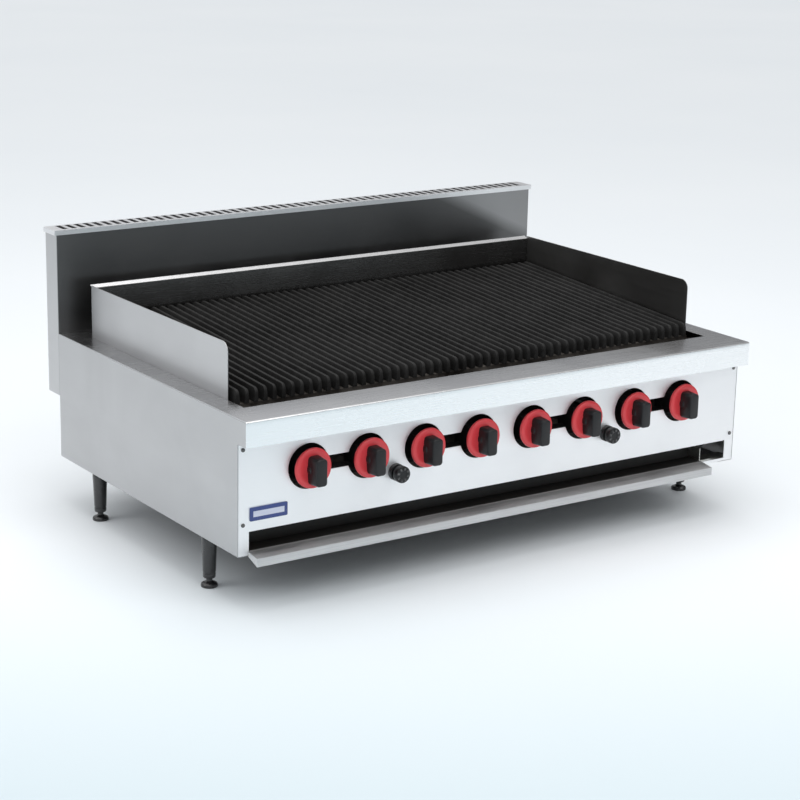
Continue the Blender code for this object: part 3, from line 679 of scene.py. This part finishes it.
# ---------------------------------------------------------------- gas train
# Black steel pipe from the rear inlet to the manifold, with brass at the inlet socket.
pipe_finish = Finish("pipe_black", Metallic=0.3)
scale = pipe_finish.noise(120, 3.0)
pipe_finish.bump(scale, 0.25, 0.0004)
pipe_paint = pipe_finish.feed(
    Base_Color=pipe_finish.blend(scale, (0.010, 0.010, 0.011), (0.030, 0.029, 0.028)),
    Roughness=pipe_finish.between(scale, 0.3, 0.7, 0.4, 0.6))
smooth_copy("gas_manifold", "manifold_pipe", "body", pipe_paint)
brass_finish = Finish("machined_brass", Metallic=1.0)
tarnish = brass_finish.noise(45, 4.0, 0.6)
brass_finish.bump(brass_finish.noise(600, 1.0, 0.5, (1, 6, 1)), 0.08, 0.0002)
brass_metal = brass_finish.feed(
    Base_Color=brass_finish.blend(tarnish, (0.52, 0.36, 0.14), (0.76, 0.58, 0.30)),
    Roughness=brass_finish.between(tarnish, 0.3, 0.7, 0.22, 0.42))
smooth_copy("gas_inlet", "inlet_socket", "body", brass_metal, 0.0006)
dress(zinc_metal, *(f"valve_stem_{index + 1}" for index in range(KNOBS)))

# ---------------------------------------------------------------- knobs
# Moulded push-and-turn knobs: a red skirt, a black hub in its middle, and a black bar to
# grip. They press onto the valve stems.
red = Finish("red_moulding", Roughness=0.34, Specular_IOR_Level=0.5)
orange_peel = red.noise(900, 1.0)
handling = red.noise(50, 3.0)
red.bump(orange_peel, 0.06, 0.0002)
red_plastic = red.feed(
    Base_Color=red.blend(handling, (0.60, 0.040, 0.050), (0.72, 0.058, 0.068)),
    Roughness=red.between(handling, 0.3, 0.7, 0.28, 0.42))
black = Finish("black_moulding", Specular_IOR_Level=0.35)
texture = black.noise(700, 1.0)
handling = black.noise(60, 3.0)
black.bump(texture, 0.08, 0.0002)
black_plastic = black.feed(
    Base_Color=black.blend(handling, (0.007, 0.007, 0.008), (0.016, 0.016, 0.017)),
    Roughness=black.between(handling, 0.3, 0.7, 0.28, 0.44))

for index, x in enumerate(knob_x):
    body = f"knob_{index + 1}"
    bm = bmesh.new()
    skirt = [(0.0140, -0.0125), (0.0355, -0.0115), (0.0380, -0.0121), (0.0389, -0.0138),
             (0.0390, -0.0160), (0.0384, -0.0178), (0.0367, -0.0193), (0.0335, -0.0200),
             (0.0290, -0.0200), (0.0250, -0.0192), (0.0172, -0.0180), (0.0156, -0.0184),
             (0.0148, -0.0182), (0.0140, -0.0172), (0.0140, -0.0125)]
    add_turned(bm, skirt, "y", (x, 0, knob_z), 64)
    add_piece(f"knob_skirt_{index + 1}", bm, body, red_plastic, [body])
    bm = bmesh.new()
    hub = [(0, -0.0125), (0.0137, -0.0125), (0.0137, -0.0175), (0.0148, -0.0184),
           (0.0150, -0.0200), (0.0148, -0.0250), (0.0138, -0.0280), (0.0118, -0.0296),
           (0.0090, -0.0300), (0, -0.0300)]
    add_turned(bm, hub, "y", (x, 0, knob_z), 48)
    corners = add_box(bm, (x - 0.0130, x + 0.0130), (-0.0480, -0.0165),
                      (knob_z - 0.030, knob_z + 0.025))
    crest = [vert for vert in corners if vert.co.y < -0.03]
    bmesh.ops.scale(bm, vec=(0.88, 1, 0.94), verts=crest,
                    space=Matrix.Translation((-x, 0, -knob_z)))
    bar_edges = {edge for vert in corners for edge in vert.link_edges}
    upright = [edge for edge in bar_edges
               if abs(edge.verts[0].co.y - edge.verts[1].co.y) > 0.02]
    bmesh.ops.bevel(bm, geom=upright, offset=0.0065, offset_type="OFFSET", segments=5,
                    profile=0.5, affect="EDGES", material=-1)
    rim = [edge for edge in bm.edges
           if max(edge.verts[0].co.y, edge.verts[1].co.y) < -0.047]
    bmesh.ops.bevel(bm, geom=rim, offset=0.0024, offset_type="OFFSET", segments=3,
                    profile=0.5, affect="EDGES", material=-1)
    add_piece(f"knob_grip_{index + 1}", bm, body, black_plastic)

# ---------------------------------------------------------------- spark igniters
# Black push-button igniters. A collar clamps each in the panel, and the button's broad cap
# has raised pads round its face, paler than the rest of the button.
pad_finish = Finish("pale_pads", Specular_IOR_Level=0.4)
pad_mottle = pad_finish.noise(260, 3.0)
pad_finish.bump(pad_mottle, 0.1, 0.0002)
pale_pad_plastic = pad_finish.feed(
    Base_Color=pad_finish.blend(pad_finish.between(pad_mottle, 0.35, 0.6), (0.02, 0.02, 0.02), (0.14, 0.14, 0.14)),
    Roughness=pad_finish.between(pad_mottle, 0.3, 0.7, 0.3, 0.5))
for word, x in igniter_x.items():
    centre = (x, 0, igniter_z)
    bm = bmesh.new()
    collar = [(0, 0.028), (0.0138, 0.028), (0.0138, -GAP), (0.0165, -GAP), (0.0165, -0.0080),
              (0.0161, -0.0090), (0.0152, -0.0095), (0.0139, -0.0095), (0.0134, -0.0090),
              (0.0133, -0.0080), (0.0133, 0.009), (0, 0.009)]
    add_turned(bm, collar, "y", centre, 48)
    add_piece(f"igniter_collar_{word}", bm, "body", black_plastic,
              [f"igniter_body_{word}"])
    bm = bmesh.new()
    button = [(0, 0.002), (0.0128, 0.002), (0.0128, -0.0155), (0.0156, -0.0156),
              (0.0163, -0.0162), (0.0165, -0.0172), (0.0165, -0.0252), (0.0161, -0.0264),
              (0.0150, -0.0271), (0.0080, -0.0271), (0.0070, -0.0262), (0, -0.0258)]
    add_turned(bm, button, "y", centre, 48)
    body = f"igniter_button_{word}"
    add_piece(f"igniter_cap_{word}", bm, body, black_plastic, [body])
    bm = bmesh.new()
    for index in range(8):
        corners = add_box(bm, (0.0092, 0.0138), (-0.0280, -0.0266), (-0.0018, 0.0018))
        pad = {edge for vert in corners for edge in vert.link_edges}
        turn = Matrix.Translation(centre) @ Matrix.Rotation(index * pi / 4 + 0.3, 4, "Y")
        bmesh.ops.transform(bm, matrix=turn, verts=corners)
        bmesh.ops.bevel(bm, geom=list(pad), offset=0.0004, offset_type="OFFSET", segments=2,
                        profile=0.5, affect="EDGES", material=-1)
    add_piece(f"igniter_pads_{word}", bm, body, pale_pad_plastic)

# ---------------------------------------------------------------- grates
# Eight loose iron castings of seven bars each. The bars are narrower on top, rounded over
# at the ends, and tied underneath by two webs.
grate_iron = cast_iron("grate_iron", (0.012, 0.0118, 0.0115), (0.030, 0.0295, 0.029), 0.66)
GRATES = 8
BARS = 7
bar_pitch = 0.01994
bar_half = 0.00475
bar_length = 0.566
bar_height = 0.027
rise = 0.034
slope = atan(rise / bar_length)
for index in range(GRATES):
    bm = bmesh.new()
    for bar in range(BARS):
        middle = (bar - 3) * bar_pitch
        corners = add_box(bm, (middle - bar_half, middle + bar_half), (0, bar_length),
                          (0, bar_height))
        crest = [vert for vert in corners if vert.co.z > 0.02]
        bmesh.ops.scale(bm, vec=(0.66, 1, 1), verts=crest,
                        space=Matrix.Translation((-middle, 0, 0)))
        rim = [edge for edge in bm.edges
               if edge.verts[0] in crest and edge.verts[1] in crest and
               abs(edge.verts[0].co.x - edge.verts[1].co.x) > 0.001]
        bmesh.ops.bevel(bm, geom=rim, offset=0.009, offset_type="OFFSET", segments=4,
                        profile=0.5, affect="EDGES", material=-1)
    long_edges = [edge for edge in bm.edges
                  if edge.is_manifold and edge.calc_face_angle(0) > 0.8
                  and min(edge.verts[0].co.z, edge.verts[1].co.z) > 0.012]
    bmesh.ops.bevel(bm, geom=long_edges, offset=0.0014, offset_type="OFFSET", segments=2,
                    profile=0.5, affect="EDGES", material=-1)
    for tie in (0.095, 0.461):
        add_box(bm, (-3 * bar_pitch, 3 * bar_pitch), (tie, tie + 0.010), (0, 0.017))
    middle = (index - (GRATES - 1) / 2) * BARS * bar_pitch
    front_end = Matrix.Translation((middle, 0.105, 0.257))
    laid = to_body @ front_end @ Matrix.Rotation(slope, 4, "X")
    add_piece(f"grate_casting_{index + 1}", bm, f"grate_{index + 1}", grate_iron,
              [f"grate_{index + 1}"], laid)

# ---------------------------------------------------------------- grease tray
# A shallow folded pan on two runners. Its floor comes out through the slot and turns down
# as a lip to pull it by.
tray = Finish("tray_steel")
lines = tray.noise(14, 2.0, 0.6, (0.6, 60, 60))
smears = tray.noise(5.0, 4.0, 0.6, None, 0.6)
tray_mottle = tray.noise(40, 4.0, 0.6)
# Behind the panel face the pan is painted near-black and made dull: painted shade that darkens the
# slot.
inside = tray.between(tray.along("Y"), panel_y - 0.002, panel_y + 0.002)
blotching = tray.blend(tray_mottle, (0.004, 0.004, 0.004), (0.014, 0.012, 0.010))
bare = tray.blend(tray.between(lines, 0.3, 0.7), (0.55, 0.55, 0.555), (0.66, 0.66, 0.66))
tray.bump(lines * 0.5 + tray_mottle * 0.5, 0.12, 0.0006)
tray_steel = tray.feed(
    Base_Color=tray.blend(inside, bare, blotching),
    Metallic=1.0 - inside * 0.9,
    Roughness=tray.between(smears * 0.6 + lines * 0.4, 0.3, 0.7, 0.42, 0.6))
dress(zinc_metal, "tray_frame")
smooth_copy("drip_tray", "tray_pan", "drip_tray", tray_steel, 0.0004)

# ---------------------------------------------------------------- legs and feet
# Four tapered legs, cast and painted gloss black, bolted under the side flanges. Each foot
# screws into its leg to level the grill.
gloss = Finish("gloss_black_paint", Roughness=0.2, Coat_Weight=0.4, Coat_Roughness=0.1)
ripple = gloss.noise(90, 2.0)
scuffs = gloss.noise(30, 4.0, 0.6)
gloss.bump(ripple, 0.12, 0.0006)
gloss_paint = gloss.feed(
    Base_Color=gloss.blend(scuffs, (0.008, 0.008, 0.009), (0.024, 0.024, 0.025)),
    Roughness=gloss.between(scuffs, 0.3, 0.7, 0.14, 0.34))
for along in ("front", "rear"):
    for across in ("left", "right"):
        low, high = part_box(f"leg_{along}_{across}")
        centre = ((low.x + high.x) / 2, (low.y + high.y) / 2, 0)
        top = high.z
        bm = bmesh.new()
        leg = [(0, top), (0.0146, top), (0.0150, top - 0.0006), (0.0150, top - 0.014),
               (0.0146, top - 0.017), (0.0126, top - 0.070), (0.0126, top - 0.0715),
               (0.0118, top - 0.0725), (0.0118, top - 0.0745), (0.0124, top - 0.0755),
               (0.0121, top - 0.0825), (0.0112, top - 0.0837), (0.0066, top - 0.0837),
               (0.0066, top - 0.046), (0, top - 0.046)]
        add_turned(bm, leg, "z", centre, 40)
        add_piece(f"leg_casting_{along}_{across}", bm, "body", gloss_paint,
                  [f"leg_{along}_{across}"], Matrix.Identity(4))
        bm = bmesh.new()
        foot = [(0, 0), (0.0152, 0), (0.0163, 0.0008), (0.0165, 0.0030), (0.0162, 0.0052),
                (0.0148, 0.0072), (0.0115, 0.0090), (0.0078, 0.0102), (0.0062, 0.0118),
                (0.0060, 0.0140), (0.0060, 0.0550), (0, 0.0550)]
        add_turned(bm, foot, "z", centre, 40)
        add_piece(f"levelling_foot_{along}_{across}", bm, f"foot_{along}_{across}", gloss_paint,
                  [f"foot_{along}_{across}"], Matrix.Identity(4))
